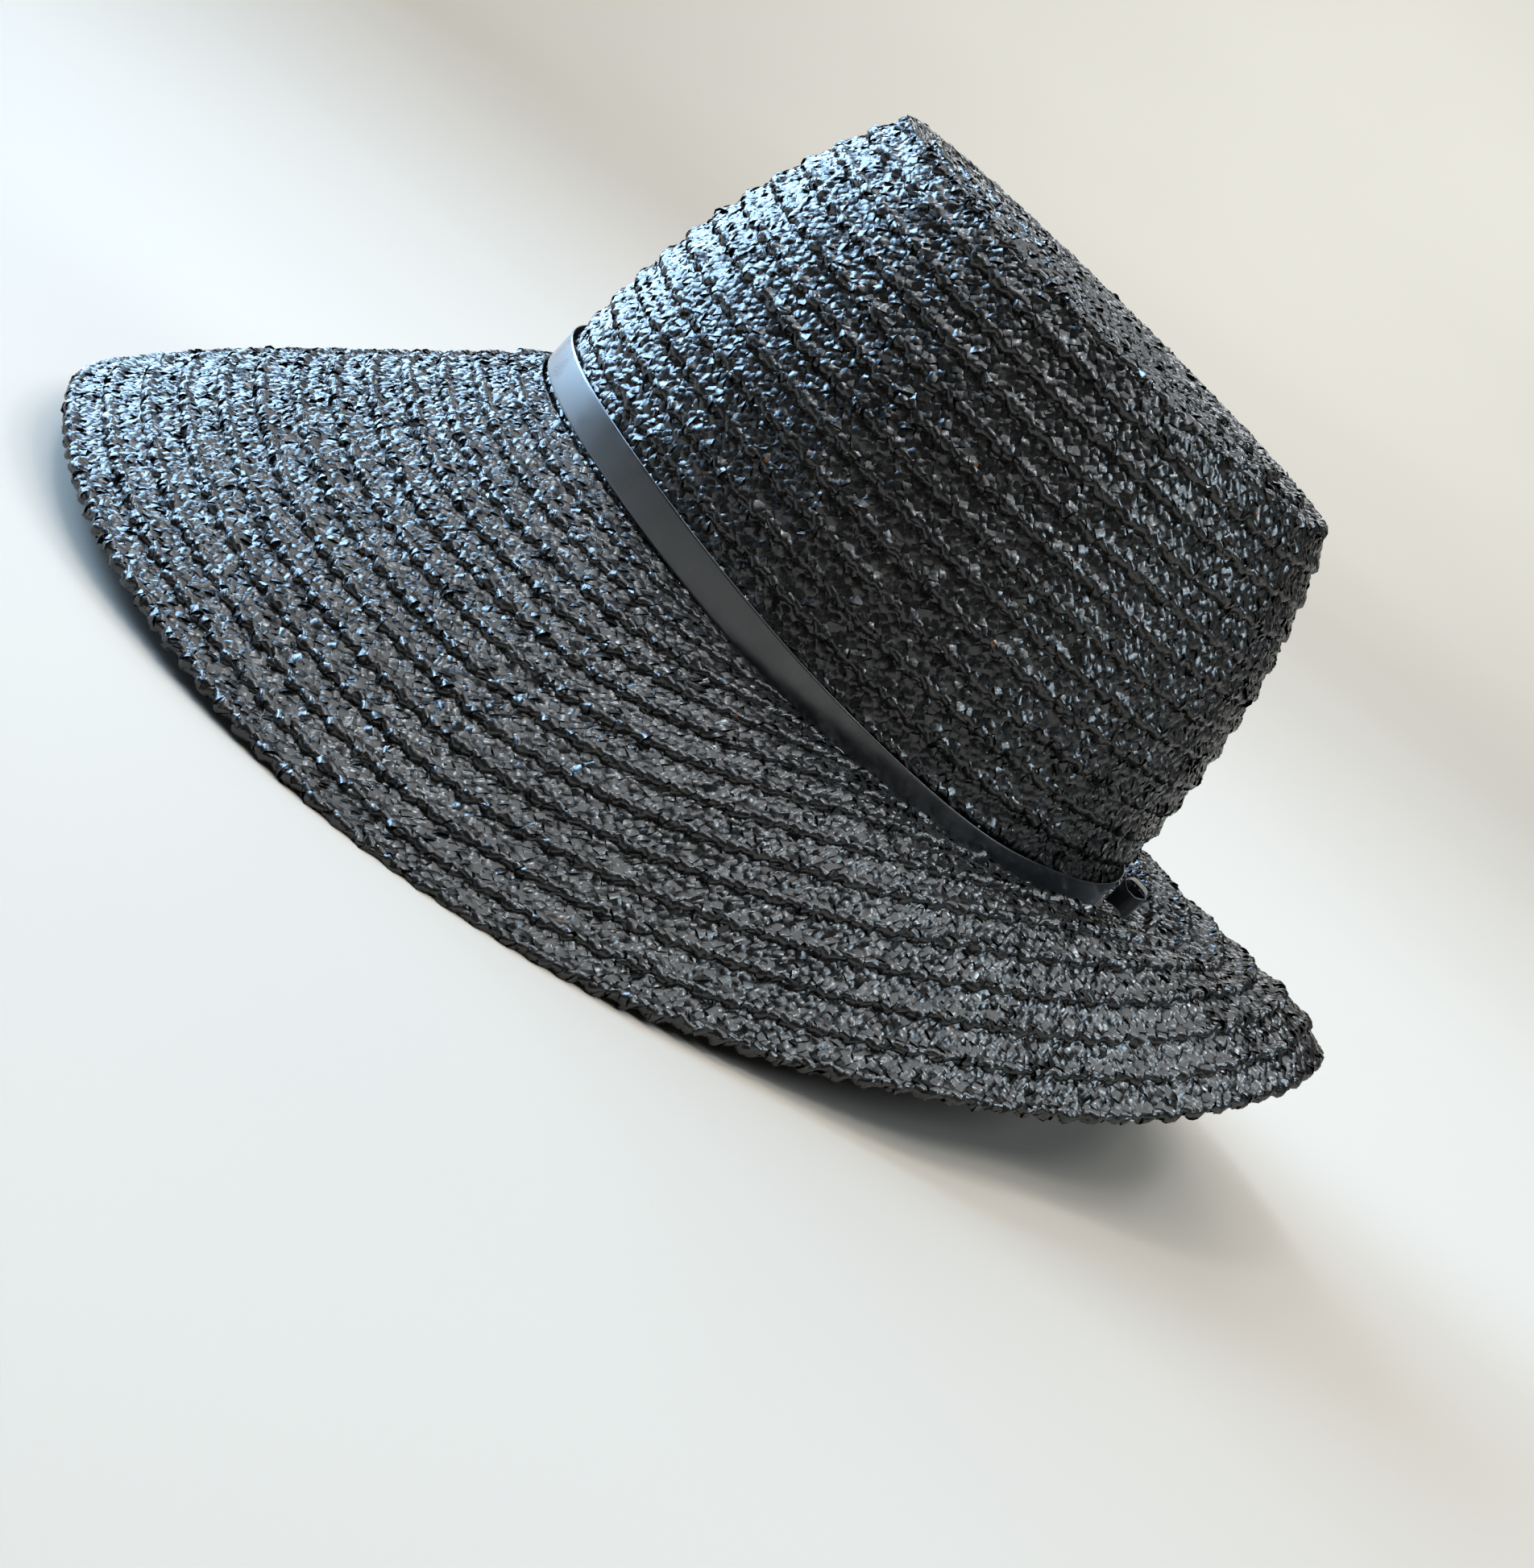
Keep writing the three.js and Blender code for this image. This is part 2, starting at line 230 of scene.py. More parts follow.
@dataclass(frozen=True)
class BrimForm:
    """Middle surface of the brim, drawn from sections between front and back."""

    crown: CrownForm
    straw: Straw
    pitch: float = 9.4
    rows: int = 13
    squeeze: float = 0.3
    seat_height: float = 1.4
    arc_steps: int = 16
    sections: tuple[BrimSection, ...] = (
        BrimSection(turn=0, width=123, at_crown=48, midway=43, at_rim=53),
        BrimSection(turn=30, width=121, at_crown=46, midway=40, at_rim=45),
        BrimSection(turn=60, width=122, at_crown=37, midway=40, at_rim=29),
        BrimSection(turn=90, width=115, at_crown=11, midway=45, at_rim=22),
        BrimSection(turn=120, width=89, at_crown=-29, midway=49, at_rim=33),
        BrimSection(turn=135, width=76, at_crown=-38, midway=40, at_rim=29),
        BrimSection(turn=150, width=71, at_crown=-58, midway=32, at_rim=36),
        BrimSection(turn=165, width=72, at_crown=-42, midway=-1, at_rim=40),
        BrimSection(turn=180, width=75, at_crown=4, midway=-28, at_rim=42),
    )

    def column(self, name: str, turn: Array) -> Array:
        """One column of the sections at any turn, as a smooth curve that is level at front and back.

        Args:
            name: The section's field.
            turn: Turns from the front, in radians.

        Returns:
            The column's values there.
        """
        knots = np.radians([section.turn for section in self.sections])
        values = np.array([getattr(section, name) for section in self.sections], float)
        lean = np.zeros_like(values)
        lean[1:-1] = (values[2:] - values[:-2]) / (knots[2:] - knots[:-2])
        fold = np.abs((np.asarray(turn, float) + math.pi) % FULL_TURN - math.pi)
        start = np.clip(np.searchsorted(knots, fold, side="right") - 1, 0, len(knots) - 2)
        span = knots[start + 1] - knots[start]
        t = (fold - knots[start]) / span
        rise = values[start + 1] - values[start]
        lean_from, lean_to = lean[start] * span, lean[start + 1] * span
        square = 3 * rise - 2 * lean_from - lean_to
        cubic = lean_from + lean_to - 2 * rise
        return values[start] + t * (lean_from + t * (square + t * cubic))

    def slopes(self, turn: Array) -> list[Array]:
        """Slopes below level at the crown, midway and at the rim, in radians."""
        return [np.radians(self.column(name, turn)) for name in ("at_crown", "midway", "at_rim")]

    @staticmethod
    def slope_at(slopes: list[Array], share: Array) -> Array:
        """Slope on the curve through a section's three slopes.

        Args:
            slopes: Slopes at the crown, midway and at the rim.
            share: Shares of the brim's width from the crown.

        Returns:
            Slopes below level, in radians.
        """
        near, mid, far = slopes
        bend = 4 * mid * share * (1 - share) + far * share * (2 * share - 1)
        return near * (1 - share) * (1 - 2 * share) + bend

    def surface(self, turn: Array, distance: Array, lift: Array) -> Array:
        """Points off the middle surface.

        Args:
            turn: Turns from the front, in radians.
            distance: Distances from the crown along the section.
            lift: Offsets from the middle surface, upwards where positive.

        Returns:
            Points in the hat's frame.
        """
        turn, distance, lift = np.broadcast_arrays(turn, distance, np.asarray(lift, float))
        width = self.column("width", turn)
        slopes = self.slopes(turn)
        out = self.straw.seat + np.abs(np.sin(slopes[0])) * self.straw.outside
        height = np.full(turn.shape, self.seat_height)
        step = distance / self.arc_steps
        for i in range(self.arc_steps):
            slope = self.slope_at(slopes, (i + 0.5) * step / width)
            out = out + step * np.cos(slope)
            height = height - step * np.sin(slope)
        slope = self.slope_at(slopes, distance / width)
        out = out + lift * np.sin(slope)
        height = height + lift * np.cos(slope)
        plan = self.crown.base.point(turn) + self.crown.base.outward(turn) * out[..., None]
        return np.concatenate([plan, height[..., None]], -1)

    def row_edge(self, turn: Array, row: int) -> Array:
        """Distance from the crown to the rim side of a row.

        Args:
            turn: Turns from the front, in radians.
            row: The row's number, counted from the rim.

        Returns:
            Distances along the section; rows that have no room lie in a narrow strip at the crown.
        """
        if row >= self.rows:
            return np.zeros_like(np.asarray(turn, float))
        least = (self.rows - row) * self.squeeze
        return np.maximum(self.column("width", turn) - row * self.pitch, least)


@dataclass(frozen=True)
class RestPose:
    """Where the hat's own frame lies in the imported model."""

    origin: Triple
    tilt: float

    @classmethod
    def from_record(cls, record: dict) -> "RestPose":
        """Reads the pose from the head opening's mount.

        Args:
            record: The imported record.

        Returns:
            The pose of the hat's frame.
        """
        mount = next(m for m in record["mounts"] if m["name"] == "head_opening")
        _, back, down = mount["axis"]
        return cls(tuple(mount["pos_m"]), math.atan2(-back, -down))

    def place(self, points: Array) -> Array:
        """Moves points to where the hat rests, none of them below the floor.

        Args:
            points: Points in the hat's frame, in millimetres.

        Returns:
            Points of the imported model, in metres.
        """
        cos, sin = math.cos(self.tilt), math.sin(self.tilt)
        x, y, z = np.moveaxis(points * MM, -1, 0)
        placed = np.stack([x, cos * y + sin * z, cos * z - sin * y], -1) + np.array(self.origin)
        placed[..., 2] = np.maximum(placed[..., 2], 0.0)
        return placed


# Meshes


def skin(rings: int, sides: int, closed: bool, looped: bool) -> Array:
    """Faces of the skin through rings of points that are numbered ring by ring.

    Args:
        rings: Number of rings.
        sides: Points in each ring.
        closed: True if the last ring joins the first.
        looped: True if each ring's last point joins its first.

    Returns:
        Faces, as four point numbers each.
    """
    ring = np.arange(rings if closed else rings - 1)[:, None]
    side = np.arange(sides if looped else sides - 1)[None, :]
    next_ring = (ring + 1) % rings
    next_side = (side + 1) % sides
    near = [ring * sides + side, next_ring * sides + side]
    far = [next_ring * sides + next_side, ring * sides + next_side]
    return np.stack(near + far, -1).reshape(-1, 4)


def weld_points(mesh: bpy.types.Mesh, distance: float = 1e-6) -> None:
    """Merges points of a mesh that coincide.

    Args:
        mesh: The mesh to change.
        distance: The furthest apart that two points may be, in metres.
    """
    work = bmesh.new()
    work.from_mesh(mesh)
    bmesh.ops.remove_doubles(work, verts=work.verts, dist=distance)
    work.to_mesh(mesh)
    work.free()


def lay_out_faces(mesh: bpy.types.Mesh, margin: float = 0.14) -> None:
    """Gives each face a square of its own in the map that holds the finish.

    Args:
        mesh: The mesh to map.
        margin: Share of a square left free on each side.
    """
    layer = mesh.uv_layers.new(name=BAKE_MAP)
    across = math.ceil(math.sqrt(len(mesh.polygons)))
    starts = np.empty(len(mesh.polygons), np.int32)
    mesh.polygons.foreach_get("loop_start", starts)
    totals = np.empty(len(mesh.polygons), np.int32)
    mesh.polygons.foreach_get("loop_total", totals)
    face = np.repeat(np.arange(len(starts)), totals)
    corner = np.arange(len(face)) - np.repeat(starts, totals)
    right = np.isin(corner, (1, 2))
    upper = corner >= 2
    u = (face % across + np.where(right, 1 - margin, margin)) / across
    v = (face // across + np.where(upper, 1 - margin, margin)) / across
    layer.data.foreach_set("uv", np.stack([u, v], -1).astype(np.float32).ravel())


@dataclass
class MeshParts:
    """Tubes and small sheets of quads gathered into one smooth mesh, each face with its own tone."""

    pose: RestPose
    points: list[Array] = field(default_factory=list)
    quads: list[Array] = field(default_factory=list)
    tones: list[Array] = field(default_factory=list)
    count: int = 0

    def add(self, points: Array, quads: Array, tones: Array) -> None:
        """Adds points and the faces between them.

        Args:
            points: Points in the hat's frame.
            quads: Faces, as numbers of these points.
            tones: A tone for each face.
        """
        self.points.append(self.pose.place(points.reshape(-1, 3)))
        self.quads.append(quads + self.count)
        self.tones.append(tones)
        self.count += len(self.points[-1])

    def add_tube(self, rings: Array, closed: bool, looped: bool = True) -> None:
        """Adds the skin through rings of points.

        Args:
            rings: Points in the hat's frame, as rings by sides by coordinates.
            closed: True if the last ring joins the first.
            looped: True if each ring's last side joins its first.
        """
        number, sides = rings.shape[:2]
        quads = skin(number, sides, closed, looped)
        # Every face takes tone 0, the straw's darkest colour; on the under layer this is painted shade
        # between the straws.
        self.add(rings, quads, np.zeros(len(quads)))

    def add_sheets(self, sheets: Array, tones: Array) -> None:
        """Adds many small sheets at once.

        Args:
            sheets: Points in the hat's frame, as sheets by lines by places by coordinates.
            tones: Tones as sheets by faces.
        """
        number, lines, places = sheets.shape[:3]
        starts = np.arange(number) * lines * places
        quads = skin(lines, places, closed=False, looped=False) + starts[:, None, None]
        self.add(sheets, quads.reshape(-1, 4), tones.ravel())

    def to_object(self, name: str, weld: bool = False) -> bpy.types.Object:
        """Makes the gathered mesh into an object of the scene.

        Args:
            name: The piece's name.
            weld: True to merge points that coincide.

        Returns:
            The new object.
        """
        mesh = bpy.data.meshes.new(name)
        mesh.from_pydata(np.concatenate(self.points).tolist(), [], np.concatenate(self.quads).tolist())
        tone = mesh.attributes.new(TONE, "FLOAT", "FACE")
        tone.data.foreach_set("value", np.concatenate(self.tones).astype(np.float32))
        mesh.shade_smooth()
        if weld:
            weld_points(mesh)
        lay_out_faces(mesh)
        piece = bpy.data.objects.new(name, mesh)
        bpy.context.scene.collection.objects.link(piece)
        return piece


def ride_on_hat(piece: bpy.types.Object, node: Node, slot: Slot) -> bpy.types.Object:
    """Makes a piece ride on the hat and stand for its solid.

    Args:
        piece: The new piece.
        node: The solid that it stands for.
        slot: The record's slot of its finish; not used.

    Returns:
        The piece.
    """
    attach(piece, BODY)
    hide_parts(node.value)
    log.info("%s: %d faces", piece.name, len(piece.data.polygons))
    return piece


class SubAssembly:
    """Pieces of the hat that are built together and share one finish."""

    def build(self) -> list[bpy.types.Object]:
        """Builds the pieces, each sub-assembly in its own way."""
        raise NotImplementedError

    def dress(self, finish: bpy.types.Material) -> None:
        """Builds the pieces and gives each of them the finish."""
        for piece in self.build():
            piece.data.materials.append(finish)


# Braid


@dataclass(frozen=True)
class BraidRow:
    """One sewn row of braid: share 0 is its tucked edge and 1 its raised edge."""

    span: float = math.pi
    closed: bool = True
    lap: float = Straw.lap
    relief: float = 1.2
    line_points: int = 1441
    width_points: int = 60

    def surface(self, turn: Array, share: Array, lift: Array) -> Array:
        """Points of the row at these turns, shares across it and heights above its middle."""
        raise NotImplementedError

    def tilted(self, share: Array, lift: Array) -> Array:
        """Height above the wall's middle surface, since a row leans over the next one."""
        return lift + self.lap * (share - 0.5)

    def line_at(self, turns: Array, share: float, lift: float = 0.0) -> Array:
        """Points of a line that keeps its share across the row and its height above it."""
        return self.surface(turns, np.full_like(turns, share), np.full_like(turns, lift))

    def line(self) -> tuple[Array, Array]:
        """Measures the row's middle line.

        Returns:
            Turns along the line, and its length up to each of them.
        """
        turns = np.linspace(-self.span, self.span, self.line_points)
        steps = np.linalg.norm(np.diff(self.line_at(turns, 0.5), axis=0), axis=1)
        return turns, np.concatenate([[0.0], np.cumsum(steps)])

    def width(self) -> float:
        """Measures the row where it is widest.

        Returns:
            The mean distance between its edges.
        """
        turns = np.linspace(-self.span / 2, self.span / 2, self.width_points)
        across = self.line_at(turns, 1.0) - self.line_at(turns, 0.0)
        return float(np.linalg.norm(across, axis=1).mean())


@dataclass(frozen=True)
class CrownRow(BraidRow):
    """A row of the crown between two places."""

    relief: float = 0.85
    form: CrownForm = CrownForm()
    start: float = 0.0
    depth: float = 0.1
    clear_of_centre: float = 0.04

    def surface(self, turn: Array, share: Array, lift: Array) -> Array:
        """Points of the row, kept off the tip's very centre."""
        place = np.maximum(self.start + share * self.depth, self.depth * self.clear_of_centre)
        return self.form.surface(place, turn, self.tilted(share, lift))


@dataclass(frozen=True)
class BrimRow(BraidRow):
    """A row of the brim, counted from the rim; a short row runs out under the band."""

    form: BrimForm = BrimForm(CrownForm(), Straw())
    number: int = 0

    def surface(self, turn: Array, share: Array, lift: Array) -> Array:
        """Points of the row, squeezed together where it runs out.

        Args:
            turn: Turns from the front, in radians.
            share: Shares across the row.
            lift: Heights above its middle.

        Returns:
            Points in the hat's frame.
        """
        inner = self.form.row_edge(turn, self.number + 1)
        outer = self.form.row_edge(turn, self.number)
        fullness = np.clip((outer - inner) / self.form.pitch, 0, 1)
        distance = np.maximum(inner + share * (outer - inner), 0)
        return self.form.surface(turn, distance, self.tilted(share, lift) * fullness)


class RowLine:
    """A row laid out flat, with places along it, across it and above it in millimetres."""

    def __init__(self, row: BraidRow) -> None:
        """Measures the row.

        Args:
            row: The row to lay out.
        """
        self.row = row
        self.turns, self.lengths = row.line()
        self.total = float(self.lengths[-1])
        self.width = row.width()

    def points(self, along: Array, across: Array, above: Array) -> Array:
        """Turns places on the flat row into points of the hat's frame.

        Args:
            along: Places along the row.
            across: Places across it, from its tucked edge.
            above: Heights above its middle.

        Returns:
            Points in the hat's frame.
        """
        along = along % self.total if self.row.closed else np.clip(along, 0, self.total)
        turn = np.interp(along, self.lengths, self.turns)
        return self.row.surface(turn, across / self.width, above)


@dataclass(frozen=True)
class StrawSeats:
    """Where straws lie on a flat row: their middles along and across it, and their leans in radians."""

    along: Array
    across: Array
    lean: Array


@dataclass(frozen=True)
class Braid:
    """A flat plait of glossy straws that cross over and under and curl round its raised, lumpy edge.

    Lengths are in millimetres and leans in degrees. A grid gives a straw's points along and across it.
    """

    levels: int = 8
    inner_levels: int = 4
    grid: tuple[int, int] = (5, 3)
    inner_grid: tuple[int, int] = (3, 2)
    pitch: float = 3.1
    fewest_straws: int = 6
    tuck: float = 0.9
    inner_edge: float = 1.2
    straw_length: float = 3.6
    straw_width: float = 2.35
    size_range: tuple[float, float] = (0.86, 1.14)
    straw_lift: float = 0.22
    lift_spread: float = 0.06
    arch: float = 0.40
    arch_angle: float = 1.9
    lean: float = 45.0
    edge_lean: float = 56.0
    lean_spread: float = 15.0
    scatter: float = 0.3
    tilt: float = 0.21
    nod_share: float = 0.5
    crease: float = 0.22
    kink: float = 0.075
    edge_radius: float = 1.6
    edge_from: float = math.radians(142)
    edge_to: float = math.radians(-60)
    edge_under: float = 0.55
    lump: float = 0.22
    lump_pitch: float = 7.4
    lump_stray: float = 6.0
    fewest_lumps: int = 3
    wander: float = 0.22
    wander_waves: tuple[int, ...] = (3, 5, 8, 13, 21)
    straw_tone: float = 0.65
    face_tone: float = 0.25
    copper_share: float = 0.0002

    def flat_width(self, line: RowLine) -> float:
        """Width of a row up to the foot of its raised edge."""
        return line.width - self.edge_radius * (1 - math.cos(self.edge_from))

    def straws(self, line: RowLine, rng: np.random.Generator, face: Face) -> tuple[Array, Array]:
        """The straws that show on one face of a row, each arched over the straw that it crosses.

        Args:
            line: The row.
            rng: The source of the irregularities.
            face: The row's face; the outer one curls round the raised edge.

        Returns:
            Sheets of points, and a tone for each face of a sheet.
        """
        outer = face is Face.OUTER
        lines, places = self.grid if outer else self.inner_grid
        seats = self.seat_straws(line, rng, face)
        along, across, height = self.shape_straws(seats, rng, lines, places)
        if outer:
            across, height = self.curl(line, rng, along, across, height)
        points = line.points(along, across, face.value * height)
        return points, self.tones(len(points), (lines - 1) * (places - 1), rng)

    def seat_straws(self, line: RowLine, rng: np.random.Generator, face: Face) -> StrawSeats:
        """Spreads straws over a face in levels that lean in turn to either side.

        Args:
            line: The row.
            rng: The source of the irregularities.
            face: The row's face.

        Returns:
            The straws' seats on the flat row, before its edge is bent.
        """
        outer = face is Face.OUTER
        levels = self.levels if outer else self.inner_levels
        flat = self.flat_width(line)
        curled = flat + self.edge_radius * (self.edge_from - self.edge_to)
        rise = ((curled if outer else line.width - self.inner_edge) + self.tuck) / levels
        count = max(round(line.total / self.pitch), self.fewest_straws)
        level = np.repeat(np.arange(levels), count)
        number = np.tile(np.arange(count), levels)
        shape = level.shape
        along = (number + level % 2 / 2) * line.total / count + rng.normal(0, self.scatter, shape)
        middle = (level + 0.5) * rise - self.tuck
        across = middle + rng.normal(0, self.scatter, shape) + self.drift(along / line.total, rng)
        degrees = np.where(outer & (middle > flat), self.edge_lean, self.lean)
        lean = np.radians(degrees + rng.normal(0, self.lean_spread, shape))
        return StrawSeats(along, across, lean * np.where(level % 2, -face.value, face.value))

    def shape_straws(
        self, seats: StrawSeats, rng: np.random.Generator, lines: int, places: int
    ) -> tuple[Array, Array, Array]:
        """Gives each straw its size, arch, tilt and creases.

        Args:
            seats: Where the straws lie.
            rng: The source of the irregularities.
            lines: Points along each straw.
            places: Points across each straw.

        Returns:
            Places along and across the flat row, and heights above it.
        """
        shape = seats.along.shape
        t = np.linspace(-1, 1, lines)[None, :, None]
        q = np.linspace(-1, 1, places)[None, None, :]
        longer, wider = rng.uniform(*self.size_range, (2, *shape))[..., None, None]
        ahead = t * (self.straw_length / 2 * longer)
        aside = q * (self.straw_width / 2 * wider)
        twist, nod, crease, raise_by = rng.normal(0, 1, (4, *shape))[..., None, None]
        height = self.straw_lift + self.arch * np.cos(self.arch_angle * t) + self.lift_spread * raise_by
        height = height + self.tilt * (twist * aside + self.nod_share * nod * ahead)
        height = height - self.crease * np.abs(crease) * np.abs(q)
        height = height + rng.normal(0, self.kink, height.shape)
        cos, sin = np.cos(seats.lean)[:, None, None], np.sin(seats.lean)[:, None, None]
        along = seats.along[:, None, None] + cos * ahead - sin * aside
        across = seats.across[:, None, None] + sin * ahead + cos * aside
        return along, across, height

    def curl(
        self, line: RowLine, rng: np.random.Generator, along: Array, across: Array, height: Array
    ) -> tuple[Array, Array]:
        """Bends places on a flat braid round the raised edge, which swells into lumps.

        Args:
            line: The row.
            rng: The source of the lumps' spacing.
            along: Places along the row.
            across: Places across the braid before it is bent.
            height: Heights above the braid.

        Returns:
            Places across the row, and heights above its middle.
        """
        flat = self.flat_width(line)
        angle = self.edge_from - np.maximum(across - flat, 0) / self.edge_radius
        lumps = max(round(line.total / self.lump_pitch), self.fewest_lumps)
        stray = self.lump_stray * self.drift(along / line.total, rng)
        swell = 1 + self.lump * np.cos(FULL_TURN * lumps * (along + stray) / line.total)
        radius = self.edge_radius * swell
        out = radius * (np.cos(angle) - math.cos(self.edge_from))
        rise = np.where(angle < 0, self.edge_under, 1.0) * np.sin(angle) - math.sin(self.edge_from)
        lean = np.minimum(angle, math.pi / 2)
        bent = np.minimum(across, flat) + out + height * np.cos(lean)
        return bent, line.row.relief * radius * rise + height * np.sin(lean)

    def tones(self, sheets: int, faces: int, rng: np.random.Generator) -> Array:
        """Tones of straws, from dark to pale, with a rare copper fleck.

        Args:
            sheets: Number of straws.
            faces: Faces of each straw.
            rng: The source of the tones.

        Returns:
            Tones as straws by faces.
        """
        shape = (sheets, faces)
        tone = self.straw_tone * rng.random((sheets, 1)) + self.face_tone * rng.random(shape)
        return np.where(rng.random(shape) < self.copper_share, COPPER_TONE, tone)

    def drift(self, share: Array, rng: np.random.Generator) -> Array:
        """Slow sideways wander of a sewn row.

        Args:
            share: Places along the row, where a whole row is 1.
            rng: The source of the wander.

        Returns:
            Sideways offsets.
        """
        total = np.zeros_like(share)
        for waves in self.wander_waves:
            angle = FULL_TURN * (waves * share + rng.random())
            total += self.wander * np.cos(angle) / math.sqrt(waves)
        return total


@dataclass
class BraidWork:
    """Lays braid on groups of rows, with a thin under layer that closes the wall."""

    pose: RestPose
    braid: Braid
    node: Node
    rng: np.random.Generator
    under_wall: float = 0.3
    under_shares: tuple[float, ...] = (0.1, 0.8)
    segments: int = 192

    def lay(self, name: str, rows: list[BraidRow]) -> bpy.types.Object:
        """Builds one piece of braid.

        Args:
            name: The piece's name.
            rows: Its rows.

        Returns:
            The piece, riding on the hat.
        """
        parts = MeshParts(self.pose)
        for row in rows:
            line = RowLine(row)
            for face in Face:
                parts.add_sheets(*self.braid.straws(line, self.rng, face))
        return ride_on_hat(parts.to_object(name), self.node, Slot.STRAW)

    def line_under(self, name: str, rows: list[BraidRow], looped: bool) -> bpy.types.Object:
        """Builds the thin layer that lies within the braid, in the straw's darkest tone as painted shade
        where it shows between straws.

        Args:
            name: The piece's name.
            rows: All its rows from the crown's tip outwards.
            looped: True if the section closes on itself, False if it meets at the tip's centre.

        Returns:
            The piece, riding on the hat.
        """
        turns = np.linspace(-math.pi, math.pi, self.segments, endpoint=False)
        places = [(row, share) for row in rows for share in self.under_shares]
        half = self.under_wall / 2
        outside = [row.line_at(turns, share, half) for row, share in places]
        inside = [row.line_at(turns, share, -half) for row, share in reversed(places)]
        parts = MeshParts(self.pose)
        parts.add_tube(np.stack(outside + inside, 1), closed=True, looped=looped)
        return ride_on_hat(parts.to_object(name, weld=not looped), self.node, Slot.STRAW)


@dataclass
class Crown(SubAssembly):
    """Crown of lapped rows: a flat oval tip and a tapered side."""

    form: CrownForm
    work: BraidWork

    def rows(self, first: int, count: int) -> list[CrownRow]:
        """Rows of equal depth over one unit of place, from this first place outwards."""
        depth = 1 / count
        return [CrownRow(form=self.form, start=first + i * depth, depth=depth) for i in range(count)]

    def build(self) -> list[bpy.types.Object]:
        """Builds the crown's pieces.

        Returns:
            The braid pieces, then the under layer.
        """
        tip = self.rows(0, self.form.tip_rows)
        side = self.rows(1, self.form.side_rows)
        half = len(side) // 2
        return [
            self.work.lay("crown_tip_braid", tip),
            self.work.lay("crown_upper_braid", side[:half]),
            self.work.lay("crown_lower_braid", side[half:]),
            self.work.line_under("crown_under_layer", tip + side, looped=False),
        ]


@dataclass
class Brim(SubAssembly):
    """Brim of lapped rows that are counted from the rim."""

    form: BrimForm
    work: BraidWork
    shortest: float = 2.0
    turn_steps: int = 361
    rim_rows: int = 4
    middle_rows: int = 4

    def row(self, number: int) -> BrimRow:
        """One row, closed round the hat or running out where the brim is too narrow for it.

        Args:
            number: The row's number from the rim.

        Returns:
            The row.
        """
        turns = np.linspace(0, math.pi, self.turn_steps)
        long_enough = self.form.column("width", turns) - number * self.form.pitch > self.shortest
        if long_enough.all():
            return BrimRow(form=self.form, number=number)
        return BrimRow(span=float(turns[long_enough].max()), closed=False, form=self.form, number=number)

    def build(self) -> list[bpy.types.Object]:
        """Builds the brim's pieces.

        Returns:
            The braid pieces, then the under layer.
        """
        rows = [self.row(number) for number in range(self.form.rows)]
        whole = [BrimRow(form=self.form, number=number) for number in range(self.form.rows)]
        inner = self.rim_rows + self.middle_rows
        return [
            self.work.lay("brim_rim_braid", rows[: self.rim_rows]),
            self.work.lay("brim_middle_braid", rows[self.rim_rows : inner]),
            self.work.lay("brim_inner_braid", rows[inner:]),
            self.work.line_under("brim_under_layer", whole[::-1], looped=True),
        ]


# Ribbon


@dataclass(frozen=True)
class RibbonLine:
    """The course of a ribbon: its middle line, and its width and the width's direction along it."""

    path: Array
    side: Array
    widths: Array
    closed: bool


@dataclass(frozen=True)
class Ribbon:
    """Satin ribbon: a thin strip with soft edges."""

    width: float = 10.0
    thickness: float = 0.3
    pillow: float = 0.15
    edge_share: float = 0.45
    face_points: int = 13

    def places(self) -> Array:
        """Places round the ribbon from -1 to 1 and back, closer together towards its edges."""
        face = np.sin(np.linspace(-math.pi / 2, math.pi / 2, self.face_points))
        return np.concatenate([face, face[::-1]])

    def strip(self, line: RibbonLine) -> Array:
        """Rings of a ribbon that follows a line.

        Args:
            line: The ribbon's course.

        Returns:
            Rings by sides by coordinates.
        """
        path, side = line.path, line.side
        if line.closed:
            ahead = np.roll(path, -1, axis=0) - np.roll(path, 1, axis=0)
        else:
            ahead = np.gradient(path, axis=0)
        out = unit(np.cross(ahead, side))
        across = self.places()
        facing = np.repeat([1.0, -1.0], self.face_points)
        edge = np.where(np.abs(across) == 1, self.edge_share, 1.0)
        height = facing * self.thickness / 2 * (1 - self.pillow * across**2) * edge
        reach = across[None, :] * line.widths[:, None] / 2
        return path[:, None] + side[:, None] * reach[..., None] + out[:, None] * height[None, :, None]


